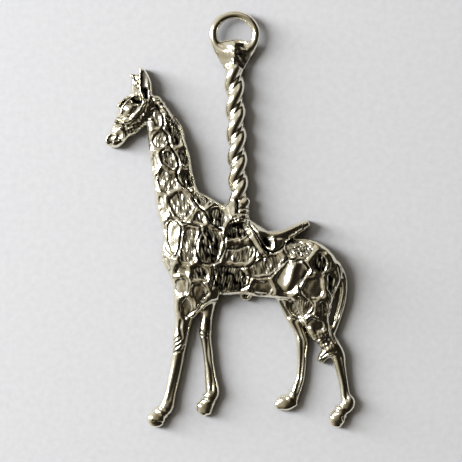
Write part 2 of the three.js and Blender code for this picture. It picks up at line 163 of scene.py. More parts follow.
# Knobs: place, radius in hundredths, height of the middle as a share of the depth.
knobs = {
    "footBead": (3.6, 4.2, 1.15, 0.52), "tuftKnob": (21.6, -28.7, 0.85, 0.56),
    "hornKnob": (-23.6, 34.4, 0.62, 0.46), "eyeball": (-24.0, 26.2, 1.9, 0.6),
}

# Ridges: crest at both ends as a share of the depth, width in millimetres, and the places along them.
ridges = {
    "brow": (0.74, 0.76, 0.5, ((-27.0, 27.0), (-26.0, 28.3), (-24.8, 29.1), (-23.85, 29.8), (-22.6, 30.5))),
    "upperLid": (0.84, 0.9, 0.55, (
        (-26.2, 25.2), (-25.7, 26.9), (-24.8, 27.95), (-23.8, 28.8), (-22.7, 29.8))),
    "lowerLid": (0.86, 0.82, 1.15, (
        (-20.7, 29.0), (-21.1, 27.0), (-22.5, 25.1), (-24.0, 23.6), (-25.4, 23.1))),
    "noseBandUpper": (0.74, 0.74, 0.5, ((-27.7, 23.9), (-26.5, 23.5), (-25.4, 23.0))),
    "noseBandLower": (0.72, 0.72, 0.5, ((-27.7, 22.9), (-26.4, 22.4), (-25.3, 21.9))),
    "lipCurl": (0.76, 0.7, 0.6, ((-26.6, 21.6), (-25.7, 20.9), (-25.8, 19.6), (-26.6, 19.1))),
    "nostrilRim": (0.6, 0.62, 0.45, (
        (-29.5, 18.1), (-29.7, 18.9), (-29.3, 19.9), (-28.3, 20.5), (-27.3, 20.2), (-27.5, 19.2),
        (-28.2, 18.5))),
    "strap": (0.98, 1.06, 0.95, ((3.6, -0.5), (4.8, -2.6), (6.2, -5.0), (7.6, -7.2), (8.9, -8.9))),
    "strapBranch": (1.0, 1.0, 0.6, ((4.6, -3.2), (3.6, -4.1), (2.3, -4.9))),
    "seatRim": (0.92, 0.8, 0.9, ((6.6, -2.9), (9.0, -3.4), (11.6, -3.3), (14.6, -2.3), (17.0, -1.2))),
    "flapRim": (0.9, 0.76, 0.55, ((12.7, -6.2), (14.2, -4.7), (16.2, -3.2), (17.6, -2.3))),
    "bellyCurl": (0.5, 0.46, 0.75, ((2.4, -17.7), (2.9, -18.7), (3.9, -19.0), (4.7, -18.5), (4.4, -17.6))),
    "earRim": (0.72, 0.9, 0.6, ((-21.5, 36.2), (-21.6, 33.2), (-21.4, 30.6), (-20.7, 29.0))),
}

# Grooves: depth in millimetres (a ridge where it is under zero), half width, and the places along them.
grooves = (
    (0.25, 0.2, ((-29.6, 17.8), (-28.4, 18.6), (-27.0, 19.2), (-26.3, 18.9))),
    (0.14, 0.4, ((-28.9, 18.9), (-28.4, 19.7))),
    (0.22, 0.12, ((-27.9, 23.4), (-25.3, 22.4))), (0.16, 0.12, ((-27.8, 22.2), (-25.6, 21.3))),
    (0.14, 0.12, ((-27.6, 24.5), (-26.6, 24.3), (-25.7, 23.8))),
    (0.75, 0.5, ((-22.9, 28.4), (-21.9, 28.2))),
    (0.14, 0.16, ((-26.6, 26.4), (-25.6, 28.1), (-24.0, 29.3))),
    (0.15, 0.2, ((-21.7, 27.6), (-22.7, 26.1), (-24.2, 24.5))),
    (0.08, 0.25, ((-20.1, 28.0), (-20.4, 26.1), (-21.9, 24.0), (-24.1, 22.3))),
    (0.12, 0.22, ((-25.3, 22.2), (-25.1, 20.6), (-25.4, 19.7))),
    (0.26, 0.55, ((-20.9, 35.2), (-20.6, 32.8), (-20.5, 30.8))), (0.4, 0.45, ((-20.0, 30.8), (-19.9, 29.2))),
    (0.12, 0.2, ((-22.3, 35.2), (-22.4, 31.2))), (0.3, 0.25, ((-23.1, 35.4), (-23.0, 33.6))),
    (0.15, 0.2, ((-23.2, 32.6), (-22.0, 31.4))),
    (0.2, 0.24, ((-18.8, 28.6), (-16.9, 26.4), (-15.0, 24.5), (-13.0, 22.3), (-11.9, 20.2))),
    (0.55, 0.85, ((8.5, -5.0), (9.1, -5.8))), (0.16, 0.18, ((7.4, -4.2), (12.4, -4.4), (15.4, -3.1))),
    (-0.25, 0.35, ((10.3, -4.6), (10.5, -6.6))), (-0.3, 0.85, ((15.2, -11.2), (14.5, -13.8), (13.5, -16.0))),
    (0.35, 0.2, ((7.7, -6.3), (8.5, -7.3), (10.3, -7.9), (11.9, -7.1), (13.1, -5.6))),
    (0.1, 0.4, ((-10.6, -24.2), (-11.0, -29.0), (-11.9, -33.0), (-13.4, -38.9), (-14.6, -43.2))),
    (0.18, 0.18, ((-14.0, -29.1), (-12.3, -28.1))), (0.18, 0.18, ((-13.9, -30.1), (-12.1, -29.1))),
    (0.18, 0.18, ((-13.7, -31.2), (-12.0, -30.0))),
    (0.22, 0.2, ((-13.7, -31.8), (-11.3, -31.5), (-10.8, -30.4))),
    (0.22, 0.3, ((-11.9, -24.4), (-12.1, -26.2), (-11.6, -28.4))),
    (0.2, 0.5, ((-5.2, -24.3), (-5.0, -26.3))),
    (0.13, 0.28, ((-5.5, -27.7), (-5.5, -32.0), (-5.3, -33.7), (-4.6, -36.1), (-4.3, -38.5), (-4.4, -41.0))),
    (0.2, 0.2, ((-7.5, -26.7), (-5.6, -27.4))), (0.2, 0.2, ((-7.5, -27.7), (-5.8, -28.4))),
    (0.16, 0.3, ((15.4, -24.8), (17.3, -29.1), (17.3, -31.8), (17.1, -35.3), (16.8, -38.0), (15.9, -41.3))),
    (0.17, 0.3, ((26.2, -33.2), (26.8, -35.5), (27.3, -37.7), (27.8, -40.3), (28.0, -43.0))),
    (0.2, 0.16, ((-10.9, -23.8), (-8.0, -21.4), (-6.3, -19.2), (-5.1, -17.6))),
    (0.18, 0.18, ((25.9, -11.6), (26.6, -14.4), (26.7, -17.3), (26.2, -20.5), (25.2, -24.1))),
    (0.18, 0.18, ((26.6, -11.3), (27.4, -14.4), (27.5, -17.3), (26.9, -20.5), (25.7, -24.1))),
    (0.2, 0.18, ((25.2, -31.7), (23.2, -32.0), (21.8, -33.2))),
    (0.2, 0.18, ((24.7, -32.8), (23.0, -33.2), (21.5, -34.1))),
    (0.2, 0.2, ((22.6, -28.2), (23.9, -29.6))), (0.16, 0.2, ((24.0, -26.6), (25.0, -29.4))),
    (0.25, 0.35, ((12.0, -19.8), (13.9, -23.2))), (0.3, 0.3, ((1.7, 4.6), (1.7, 1.6))),
    (0.25, 0.16, ((2.3, 2.8), (4.7, 2.6))), (0.25, 0.16, ((2.3, 1.6), (4.7, 1.4))),
    (0.2, 0.16, ((2.6, 0.4), (4.5, 0.2))),
    (0.3, 0.15, ((2.8, -1.2), (4.0, -3.4), (5.4, -5.8), (6.8, -7.9), (7.9, -9.3))),
    (0.3, 0.15, ((4.7, -1.0), (5.8, -2.8), (7.1, -4.8), (8.4, -6.7), (9.4, -8.1))),
    # deep lines between some patches
    (0.28, 0.24, ((-17.7, 27.2), (-16.1, 24.8), (-15.9, 22.9), (-16.3, 21.6), (-15.0, 20.0), (-14.6, 17.8))),
    (0.28, 0.24, ((-14.6, 17.8), (-13.4, 16.0), (-12.5, 14.4), (-12.2, 12.8), (-12.8, 11.3), (-12.7, 10.1))),
    (0.28, 0.24, ((-12.7, 10.1), (-12.2, 8.9), (-11.4, 8.0), (-10.1, 7.3), (-8.9, 6.0), (-8.6, 4.5))),
    (0.28, 0.24, ((-8.6, 4.5), (-7.4, 2.9), (-5.9, 1.6), (-4.6, -0.9), (-1.9, -2.7))),
    (0.2, 0.18, ((-14.8, 17.2), (-16.2, 16.5), (-16.6, 15.2), (-16.0, 13.4), (-14.0, 11.8), (-12.8, 11.3))),
    (0.16, 0.16, ((-17.7, 10.6), (-17.0, 8.2), (-16.1, 6.6), (-13.9, 5.9))),
    (0.24, 0.19, ((-14.7, 0.4), (-13.0, -0.3), (-11.6, -1.8), (-11.7, -3.5), (-12.0, -6.4), (-13.0, -8.8))),
    (0.24, 0.19, ((-11.3, -0.8), (-9.4, -1.2), (-7.2, -1.8), (-6.8, -3.1), (-7.8, -4.9), (-8.2, -6.6))),
    (0.24, 0.19, (
        (-8.2, -6.6), (-7.7, -8.6), (-6.6, -10.5), (-4.8, -10.7), (-2.6, -10.0), (-1.3, -7.1),
        (-1.2, -4.4))),
    (0.2, 0.17, ((-0.7, -7.1), (1.5, -7.2), (3.9, -6.3))),
    (0.22, 0.18, ((-1.2, -11.2), (2.0, -11.6), (4.6, -11.3), (6.1, -9.8), (6.3, -7.3))),
    (0.22, 0.18, ((-4.1, -11.2), (-3.6, -13.6), (-4.3, -16.5))),
    (0.2, 0.17, ((4.9, -13.9), (4.3, -15.8), (2.2, -17.4))),
    (0.2, 0.17, ((4.2, -13.5), (6.8, -14.1), (9.7, -13.6), (11.6, -11.3), (13.6, -9.5))),
    (0.24, 0.19, (
        (13.6, -9.5), (17.4, -9.8), (18.8, -11.7), (17.4, -14.1), (16.4, -15.9), (16.9, -18.1),
        (18.4, -19.4))),
    (0.15, 0.16, ((-18.6, -48.3), (-16.6, -48.8))), (0.14, 0.16, ((26.9, -47.6), (27.2, -48.4))),
)

# Rough cast skin between the polished parts: place, reach in hundredths, height in millimetres.
roughSpots = (
    (-22.0, 21.9, 2.3, 0.1), (-20.0, 24.6, 1.9, 0.1), (-23.9, 21.4, 1.5, 0.07), (-17.6, 28.0, 2.4, 0.1),
    (-22.6, 32.8, 1.2, 0.03), (2.2, -1.0, 2.6, 0.12), (16.6, -7.8, 2.6, 0.12), (22.6, -29.0, 3.0, 0.08),
    (-13.5, 24.5, 2.0, 0.06),
)
# The same with broader lumps, on the cap.
blisters = ((2.0, 40.2, 2.5, 0.16), (2.0, 37.6, 1.6, 0.12))

# The hide: middle, half length and half width in hundredths, and turn in degrees, of each patch.
patches = (
    (-17.6, 24.2, 2.5, 1.3, 101), (-13.5, 20.9, 3.8, 1.8, 105), (-16.8, 18.9, 2.5, 2.2, 60),
    (-14.7, 14.3, 2.8, 1.8, 117), (-11.2, 14.6, 2.6, 1.2, 115), (-18.2, 13.4, 2.5, 1.2, 95),
    (-15.0, 9.1, 3.5, 2.5, 119), (-9.9, 9.2, 2.3, 1.9, 125), (-16.3, 3.3, 2.8, 1.3, 100),
    (-11.8, 3.3, 4.0, 3.1, 125), (-7.3, 0.4, 2.0, 1.7, 150), (-6.9, 5.0, 2.4, 1.9, 140),
    (-3.1, 0.3, 2.9, 2.4, 110),
    (-13.9, -4.4, 4.4, 1.4, 95), (-9.7, -6.2, 4.8, 2.4, 79), (-4.8, -6.2, 4.8, 3.3, 90),
    (1.5, -2.9, 2.9, 2.4, 0), (2.0, -8.3, 4.1, 2.9, 5), (-15.4, -10.8, 2.5, 1.5, 100),
    (-11.6, -12.3, 2.1, 1.3, 0), (-7.3, -12.9, 2.5, 2.1, 0), (-11.8, -16.0, 2.4, 2.1, 90),
    (0.0, -14.0, 4.8, 3.6, -4), (-7.6, -17.8, 2.8, 2.1, 90), (-10.3, -20.7, 2.3, 1.6, 90),
    (8.1, -11.3, 4.6, 2.4, 18), (14.5, -13.5, 4.5, 3.5, 50), (16.5, -7.2, 3.6, 2.2, -20),
    (21.4, -10.6, 2.8, 2.1, 115), (7.5, -16.4, 2.9, 2.2, 5), (19.6, -16.4, 3.1, 3.0, 90),
    (23.9, -15.2, 3.0, 1.2, 95), (22.3, -21.3, 2.2, 1.5, 90), (17.1, -20.9, 3.0, 2.7, 60),
    (20.2, -25.1, 2.4, 1.6, -10),)
hide = {
    # Millimetres, inwards from a patch's edge. The skin falls from a cord to the patch's floor in two
    # steps, and a furrow follows the edge between them here and there.
    "swell": 0.3,  # of every patch past its listed size
    "shoulder": 0.2, "shoulderStart": -0.55, "shoulderEnd": 0.2,
    "furrowDepth": 0.12, "furrowReach": 0.24,
    "floorDepth": 0.26, "floorStart": 0.2, "floorEnd": 0.55,
    "wobble": 0.14, "rounding": 1.1, "squareness": 2.5,
    "hatchPitch": 0.46, "hatchHeight": 0.09, "hatchBend": 0.2, "hatchFineBend": 0.13,
    "unevenness": 0.06,
    # shares
    "hatchLean": 0.22,
    "smoothHatch": 0.1, "smoothUneven": 0.5,
    "smoothStain": 0.15, "plainStain": 0.65, "darkStain": 1.0, "edgeStain": 0.8, "furrowStain": 0.9,
}
# Unevenness: the size of its waves in millimetres, and their seed.
ripples = {
    "edge": (2.4, 17), "fineEdge": (1.1, 19), "furrow": (6.0, 29), "bend": (5.5, 3), "fineBend": (1.7, 5),
    "gaps": (1.2, 7), "floor": (2.1, 23), "lump": (0.95, 11), "fineLump": (0.55, 13), "blister": (1.6, 37),
}
# Patches by their order above: floors that are nearly smooth, and floors that are nearly black.
smoothPatches = (5, 8, 13, 18, 19, 21, 23, 24, 26, 29, 30, 34)
darkPatches = (1, 3, 4, 7, 10, 11, 12, 15, 16, 20, 22, 28, 31)


def between(low, high, values):
    ramp = np.clip((values - low) / (high - low), 0, 1)
    return ramp * ramp * (3 - 2 * ramp)


def waves(x, y, size, seed):
    # Smooth repeatable unevenness from a handful of crossed waves, about -1 to 1.
    dice = np.random.default_rng(seed)
    total = np.zeros_like(x)
    for _ in range(9):
        turn, phase = dice.uniform(0, 2 * math.pi), dice.uniform(0, 2 * math.pi)
        stretch = dice.uniform(0.6, 1.7)
        total += np.sin((x * math.cos(turn) + y * math.sin(turn)) * stretch * 2 * math.pi / size + phase)
    return total / 4.5


def smoothLine(stations, perSpan=7):
    # A curve through the stations, with every column carried along it.
    knots = np.asarray(stations, float)
    knots = np.vstack([2 * knots[0] - knots[1], knots, 2 * knots[-1] - knots[-2]])
    line = []
    for before, start, end, after in zip(knots, knots[1:], knots[2:], knots[3:]):
        for t in np.arange(perSpan) / perSpan:
            bend = 2 * before - 5 * start + 4 * end - after
            sway = -before + 3 * start - 3 * end + after
            line.append(0.5 * (2 * start + (end - before) * t + bend * t * t + sway * t**3))
    return np.array(line + [knots[-2]])


def strokeDistance(x, y, points):
    # Distance from each place to a line of a few points, in millimetres.
    line = place(points)
    if len(line) == 1:
        return np.hypot(x - line[0, 0], y - line[0, 1])
    nearest = np.full(x.shape, 1e9)
    for (ax, ay), (bx, by) in zip(line, line[1:]):
        run = np.array([bx - ax, by - ay])
        t = np.clip(((x - ax) * run[0] + (y - ay) * run[1]) / (run @ run), 0, 1)
        nearest = np.minimum(nearest, np.hypot(x - ax - t * run[0], y - ay - t * run[1]))
    return nearest


class Casting:
    # The casting as a field of signed distances on a grid of cells, under zero inside.
    def __init__(self, low, high, cell):
        self.cell = cell
        self.first = np.floor(np.array(low) / cell).astype(int)
        self.count = np.ceil(np.array(high) / cell).astype(int) - self.first + 1
        self.field = np.full(self.count, 3.0, np.float32)

    def axis(self, k):
        return (self.first[k] + np.arange(self.count[k])) * self.cell

    def window(self, low, high):
        start = np.clip(np.floor(np.array(low) / self.cell).astype(int) - self.first, 0, self.count)
        stop = np.clip(np.ceil(np.array(high) / self.cell).astype(int) - self.first + 1, 0, self.count)
        return tuple(slice(a, b) for a, b in zip(start, stop))

    def join(self, room, distance, soft):
        # Keeps the nearer of both, with a fillet of about the given size between them.
        old = self.field[room]
        meet = np.clip(soft - np.abs(old - distance), 0, None)
        self.field[room] = np.minimum(old, distance) - meet * meet / (4 * soft)

    def limb(self, stations, soft, full=figure["fullness"]):
        line = smoothLine(stations)
        line[:, :2] = place(line[:, :2])
        line[:, 2] *= share
        line[:, 3] *= figure["depth"]
        pad = line[:, 2].max() * 1.2 + 1.2
        room = self.window(
            [*(line[:, :2].min(0) - pad), -9], [*(line[:, :2].max(0) + pad), line[:, 3].max() + 1.2]
        )
        x, y, z = (self.axis(k)[room[k]] for k in range(3))
        x, y = np.meshgrid(x, y, indexing="ij")
        closest = np.full(x.shape, 1e9)
        nearest, width, crest = np.ones_like(x), np.ones_like(x), np.ones_like(x)
        for k, (here, there) in enumerate(zip(line, line[1:])):
            run = there[:2] - here[:2]
            t = ((x - here[0]) * run[0] + (y - here[1]) * run[1]) / (run @ run)
            held = np.clip(t, 0, 1)
            square = (x - here[0] - held * run[0]) ** 2 + (y - here[1] - held * run[1]) ** 2
            past = np.minimum(t, 0) if k == 0 else np.maximum(t - 1, 0) if k == len(line) - 2 else 0 * t
            blunt = square + past**2 * (run @ run) * (1 / figure["endReach"] ** 2 - 1)
            halfWidth = here[2] + (there[2] - here[2]) * held
            better = square < closest
            closest = np.where(better, square, closest)
            nearest = np.where(better, np.sqrt(blunt) / halfWidth, nearest)
            width = np.where(better, halfWidth, width)
            crest = np.where(better, here[3] + (there[3] - here[3]) * held, crest)
        width, crest, nearest = width[..., None], crest[..., None], nearest[..., None]
        belt = crest * figure["belt"]
        above, below = (z - belt) / (crest - belt), (belt - z) / (belt * figure["undercut"])
        rise = np.where(z > belt, above, below)
        reach = (nearest**full + rise**full) ** (1 / full)
        self.join(room, (reach - 1) * np.minimum(width, crest - belt), soft)

    def ball(self, across, up, radius, height, soft):
        middle = [*place((across, up)), height * figure["depth"]]
        radius *= share
        room = self.window(np.array(middle) - radius - 1, np.array(middle) + radius + 1)
        x, y, z = np.meshgrid(*(self.axis(k)[room[k]] for k in range(3)), indexing="ij")
        distance = np.sqrt((x - middle[0]) ** 2 + (y - middle[1]) ** 2 + (z - middle[2]) ** 2) - radius
        self.join(room, distance, soft)

    def mesh(self, piece, soft):
        # Casts a closed mesh in with the rest.
        points = np.empty(len(piece.data.vertices) * 3, np.float32)
        piece.data.vertices.foreach_get("co", points)
        points = points.reshape(-1, 3) / toMetres
        piece.data.calc_loop_triangles()
        faces = np.empty(len(piece.data.loop_triangles) * 3, np.int32)
        piece.data.loop_triangles.foreach_get("vertices", faces)
        shell = openvdb.FloatGrid.createLevelSetFromPolygons(
            points, triangles=faces.reshape(-1, 3).astype(np.uint32),
            transform=openvdb.createLinearTransform(voxelSize=self.cell), halfWidth=4.0,
        )
        room = self.window(points.min(0) - 0.7, points.max(0) + 0.7)
        near = np.full([s.stop - s.start for s in room], 9.0, np.float32)
        shell.copyToArray(near, ijk=tuple(int(self.first[k] + room[k].start) for k in range(3)))
        self.join(room, near, soft)

    def surface(self):
        # The skin of the casting, cut flat at the back.
        height = self.axis(2)
        field = np.maximum(self.field, -height)
        grid = openvdb.FloatGrid(3.0)
        grid.copyFromArray(np.ascontiguousarray(field), ijk=tuple(int(v) for v in self.first))
        grid.transform = openvdb.createLinearTransform(voxelSize=self.cell)
        points, quads = grid.convertToQuads(isovalue=0.0)
        return points.astype(float), quads.astype(int)


def inScene(name, data):
    thing = bpy.data.objects.new(name, data)
    bpy.context.scene.collection.objects.link(thing)
    return thing


def asMesh(thing):
    # What the modifiers make of a thing, as a plain mesh.
    return bpy.data.meshes.new_from_object(thing.evaluated_get(bpy.context.evaluated_depsgraph_get()))


def feed(tree, node, inputs):
    # Gives a node's inputs their values, or the sockets to link from.
    for key, value in inputs.items():
        if isinstance(value, bpy.types.NodeSocket):
            tree.links.new(value, node.inputs[key])
        else:
            node.inputs[key].default_value = value


def nodeIn(tree, kind, inputs, **settings):
    node = tree.nodes.new(kind)
    for key, value in settings.items():
        setattr(node, key, value)
    feed(tree, node, inputs)
    return node


def calc(tree, how, *values):
    return nodeIn(tree, "ShaderNodeMath", dict(enumerate(values)), operation=how).outputs[0]


def newTree(name, sizes):
    # A geometry tree with a named input for each size, and one for the material.
    tree = bpy.data.node_groups.new(name, "GeometryNodeTree")
    for way in ("INPUT", "OUTPUT"):
        tree.interface.new_socket("Geometry", in_out=way, socket_type="NodeSocketGeometry")
    for label, value in sizes.items():
        kind = {tuple: "Vector", int: "Int"}.get(type(value), "Float")
        socket = tree.interface.new_socket(label, in_out="INPUT", socket_type="NodeSocket" + kind)
        socket.default_value = value
    tree.interface.new_socket("Material", in_out="INPUT", socket_type="NodeSocketMaterial")
    return tree, tree.nodes.new("NodeGroupInput").outputs, tree.nodes.new("NodeGroupOutput")


def circle(tree, sides, radius):
    kind = "GeometryNodeCurvePrimitiveCircle"
    return nodeIn(tree, kind, {"Resolution": sides, "Radius": radius}).outputs[0]


def sweep(tree, curve, sides, radius, caps=False, scale=1.0):
    # Carries a round section along a curve.
    return nodeIn(tree, "GeometryNodeCurveToMesh", {
        "Curve": curve, "Profile Curve": circle(tree, sides, radius), "Scale": scale,
        "Fill Caps": caps}).outputs[0]


def finishTree(tree, shape, material, result):
    real = nodeIn(tree, "GeometryNodeRealizeInstances", {"Geometry": shape})
    painted = nodeIn(tree, "GeometryNodeSetMaterial", {"Geometry": real.outputs[0], "Material": material})
    tree.links.new(painted.outputs[0], result.inputs[0])
    return tree


def grow(name, tree, sizes, seed=None):
    # Runs a tree on a seed, or on an empty mesh, and makes a plain object of the result.
    holder = inScene(name + "Seed", seed or bpy.data.meshes.new(name + "Seed"))
    modifier = holder.modifiers.new(name, "NODES")
    modifier.node_group = tree
    for socket in tree.interface.items_tree:
        if socket.in_out == "INPUT" and socket.name in sizes:
            modifier[socket.identifier] = sizes[socket.name]
    made = asMesh(holder)
    holder.modifiers.clear()
    bpy.data.objects.remove(holder)
    return bpy.data.objects.new(name, made)


pole = {
    "foot": (2.15, 2.0), "top": (0.8, 36.6),
    "turns": 3.02, "quickening": 0.11, "firstAngle": 1.11,
    "fatRadius": 1.1, "fatOffset": 0.8,  # millimetres
    "thinRadius": 0.42, "thinOffset": 1.02,
    "steps": 220, "sides": 16,
}


def poleTree(sizes):
    # Two fat strands wound with two thin ones about a straight line.
    tree, given, result = newTree("twistedStrands", sizes)
    line = nodeIn(tree, "GeometryNodeCurvePrimitiveLine", {"Start": given["Foot"], "End": given["Top"]})
    fine = nodeIn(tree, "GeometryNodeResampleCurve", {"Curve": line.outputs[0], "Count": given["Steps"]})
    t = tree.nodes.new("GeometryNodeSplineParameter").outputs["Factor"]
    rest = calc(tree, "SUBTRACT", 1.0, t)
    quick = calc(tree, "MULTIPLY", calc(tree, "MULTIPLY", t, rest), given["Quickening"])
    wound = calc(tree, "MULTIPLY", calc(tree, "ADD", t, quick), given["Turns"])
    angle = calc(tree, "SUBTRACT", given["First Angle"], calc(tree, "MULTIPLY", wound, 2 * math.pi))
    joint = tree.nodes.new("GeometryNodeJoinGeometry")
    for quarter in range(4):
        radius, offset = [("Fat Radius", "Fat Offset"), ("Thin Radius", "Thin Offset")][quarter % 2]
        turned = calc(tree, "ADD", angle, quarter * math.pi / 2)
        sway = nodeIn(tree, "ShaderNodeCombineXYZ", {
            "X": calc(tree, "MULTIPLY", calc(tree, "COSINE", turned), given[offset]),
            "Z": calc(tree, "MULTIPLY", calc(tree, "SINE", turned), given[offset]),
        })
        strand = nodeIn(tree, "GeometryNodeSetPosition", {
            "Geometry": fine.outputs[0], "Offset": sway.outputs[0]})
        tube = sweep(tree, strand.outputs[0], given["Sides"], given[radius], caps=True)
        tree.links.new(tube, joint.inputs[0])
    return finishTree(tree, joint.outputs[0], given["Material"], result)


ankleRings = {
    "width": 0.3,  # millimetres, half the thickness of one ring
    "proud": 0.14,  # of the ankle
    "steps": 2,
    "ankles": {  # from the upper ring to the lower, half width in hundredths and crest of each
        "foreNear": ((-15.7, -45.4), (-16.6, -46.5), 1.75, 0.5),
        "foreFar": ((-5.0, -42.6), (-5.4, -43.9), 1.7, 0.48),
        "hindFar": ((15.2, -42.2), (14.3, -43.2), 1.45, 0.47),
        "hindNear": ((26.8, -45.6), (26.3, -46.9), 1.75, 0.5),
    },
}


def ringTree(sizes):
    # Flattened rings set square across a short line.
    tree, given, result = newTree("ankleRings", sizes)
    line = nodeIn(tree, "GeometryNodeCurvePrimitiveLine", {"Start": given["From"], "End": given["To"]})
    stops = nodeIn(tree, "GeometryNodeCurveToPoints", {"Curve": line.outputs[0], "Count": given["Steps"]})
    stretch = nodeIn(tree, "ShaderNodeCombineXYZ", {
        "X": 1.0, "Y": calc(tree, "DIVIDE", given["Height"], given["Half Width"]), "Z": 1.0})
    flat = nodeIn(tree, "GeometryNodeTransform", {
        "Geometry": circle(tree, 40, given["Half Width"]), "Scale": stretch.outputs[0]})
    band = sweep(tree, flat.outputs[0], 12, given["Thickness"])
    laid = nodeIn(tree, "GeometryNodeInstanceOnPoints", {
        "Points": stops.outputs[0], "Instance": band, "Rotation": stops.outputs["Rotation"]})
    return finishTree(tree, laid.outputs[0], given["Material"], result)


hanger = {
    "top": (1.0, 43.0), "foot": (0.9, 36.4),  # of the cap
    "bore": 6.2, "wire": 1.6, "squash": 0.93, "sunk": 1.85,
    "capWidth": 7.5,
    # shares of the cap's height and of its half width
    "profile": ((-0.25, 0.3), (-0.06, 0.48), (0.12, 0.62), (0.3, 0.75), (0.48, 0.87), (0.62, 0.94),
                (0.76, 0.9), (0.9, 0.72), (1.03, 0.35)),
    "floorGap": 0.15,
}


def hoopTree(sizes):
    # The ring, a little wider than high.
    tree, given, result = newTree("ring", sizes)
    ring = sweep(tree, circle(tree, 96, given["Radius"]), 24, given["Wire"])
    squash = nodeIn(tree, "ShaderNodeCombineXYZ", {"X": 1.0, "Y": given["Squash"], "Z": 1.0})
    hung = nodeIn(tree, "GeometryNodeTransform", {
        "Geometry": ring, "Translation": given["Middle"], "Scale": squash.outputs[0]})
    return finishTree(tree, hung.outputs[0], given["Material"], result)


def capTree(sizes):
    # A flattened four-sided cone: a line up its middle, with the width at each point.
    tree, given, result = newTree("cap", sizes)
    first, last = hanger["profile"][0][0], hanger["profile"][-1][0]
    line = nodeIn(tree, "GeometryNodeCurvePrimitiveLine", {
        "Start": (0.0, first, 0.0), "End": (0.0, last, 0.0)})
    fine = nodeIn(tree, "GeometryNodeResampleCurve", {"Curve": line.outputs[0], "Count": 90})
    t = tree.nodes.new("GeometryNodeSplineParameter").outputs["Factor"]
    curve = tree.nodes.new("ShaderNodeFloatCurve")
    knots = curve.mapping.curves[0].points
    for k, (up, out) in enumerate(hanger["profile"]):
        spot = ((up - first) / (last - first), out)
        if k in (0, 1):
            knots[k].location = spot
        else:
            knots.new(*spot)
    curve.mapping.update()
    tree.links.new(t, curve.inputs["Value"])
    halfWidth = calc(tree, "MULTIPLY", given["Width"], 0.5)
    cone = sweep(tree, fine.outputs[0], 4, halfWidth, caps=True, scale=curve.outputs[0])
    stretch = nodeIn(tree, "ShaderNodeCombineXYZ", {"X": 1.0, "Y": given["Height"], "Z": given["Flatness"]})
    cap = nodeIn(tree, "GeometryNodeTransform", {
        "Geometry": cone, "Translation": given["Foot"], "Scale": stretch.outputs[0]})
    return finishTree(tree, cap.outputs[0], given["Material"], result)


maneTufts = {
    "line": ((-17.3, 28.2), (-16.6, 27.3), (-15.2, 25.5), (-13.3, 23.1), (-12.0, 21.2), (-11.4, 18.6)),
    "count": 17,
    "length": 0.75,  # millimetres
    "width": 0.36, "tip": 0.06,
    "height": 2.1,
    "sizes": (0.7, 1.35),
    "lean": -0.9, "swing": 0.35,  # radians
    "seed": 4,
}


def tuftTree(sizes):
    # Short pointed locks leaning along a line, each with its own size and turn.
    tree, given, result = newTree("maneLocks", sizes)
    stops = nodeIn(tree, "GeometryNodeCurveToPoints", {"Curve": given["Geometry"], "Count": given["Count"]})
    lock = nodeIn(tree, "GeometryNodeMeshCone", {
        "Vertices": 12, "Radius Top": maneTufts["tip"] * toMetres, "Radius Bottom": given["Width"],
        "Depth": given["Length"]})
    least, most = maneTufts["sizes"]
    size = nodeIn(tree, "FunctionNodeRandomValue", {2: least, 3: most, "Seed": given["Seed"]})
    swing = nodeIn(tree, "FunctionNodeRandomValue", {
        2: -maneTufts["swing"], 3: maneTufts["swing"], "Seed": given["Seed"]})
    turn = nodeIn(tree, "ShaderNodeCombineXYZ", {
        "X": -math.pi / 2, "Y": 0.0, "Z": calc(tree, "ADD", given["Lean"], swing.outputs[1])})
    laid = nodeIn(tree, "GeometryNodeInstanceOnPoints", {
        "Points": stops.outputs[0], "Instance": lock.outputs[0], "Rotation": turn.outputs[0],
        "Scale": size.outputs[1]})
    return finishTree(tree, laid.outputs[0], given["Material"], result)


def at(spot, height):
    across, up = place(spot)
    return (across * toMetres, up * toMetres, height * toMetres)


def castPole():
    sizes = {
        "Foot": at(pole["foot"], figure["axisHeight"]), "Top": at(pole["top"], figure["axisHeight"]),
        "Turns": pole["turns"], "Quickening": pole["quickening"], "First Angle": pole["firstAngle"],
        "Fat Radius": pole["fatRadius"] * toMetres, "Fat Offset": pole["fatOffset"] * toMetres,
        "Thin Radius": pole["thinRadius"] * toMetres, "Thin Offset": pole["thinOffset"] * toMetres,
        "Steps": pole["steps"], "Sides": pole["sides"],
    }
    return grow("twistedPole", poleTree(sizes), sizes)


def castRing():
    lift = hanger["bore"] / 2 * hanger["squash"] - hanger["sunk"]
    across, up, height = at(hanger["top"], figure["axisHeight"])
    sizes = {
        "Middle": (across, up + lift * toMetres, height),
        "Radius": (hanger["bore"] + hanger["wire"]) / 2 * toMetres,
        "Squash": hanger["squash"], "Wire": hanger["wire"] / 2 * toMetres,
    }
    return grow("ring", hoopTree(sizes), sizes)


def castCap():
    rise = place(hanger["top"])[1] - place(hanger["foot"])[1]
    sizes = {
        "Foot": at(hanger["foot"], figure["axisHeight"]), "Height": rise * toMetres,
        "Width": hanger["capWidth"] * toMetres,
        "Flatness": 2 * (figure["axisHeight"] - hanger["floorGap"]) / hanger["capWidth"],
    }
    return grow("cap", capTree(sizes), sizes)


def castAnkles():
    tree = None
    proud, width = ankleRings["proud"], ankleRings["width"]
    for name, (upper, lower, halfWidth, crest) in ankleRings["ankles"].items():
        belt = crest * figure["belt"] * figure["depth"]
        sizes = {
            "From": at(upper, belt), "To": at(lower, belt), "Steps": ankleRings["steps"],
            "Half Width": (halfWidth * share + proud - width) * toMetres,
            "Height": (crest * figure["depth"] - belt + proud - width) * toMetres,
            "Thickness": width * toMetres,
        }
        tree = tree or ringTree(sizes)
        yield grow(name + "Rings", tree, sizes)


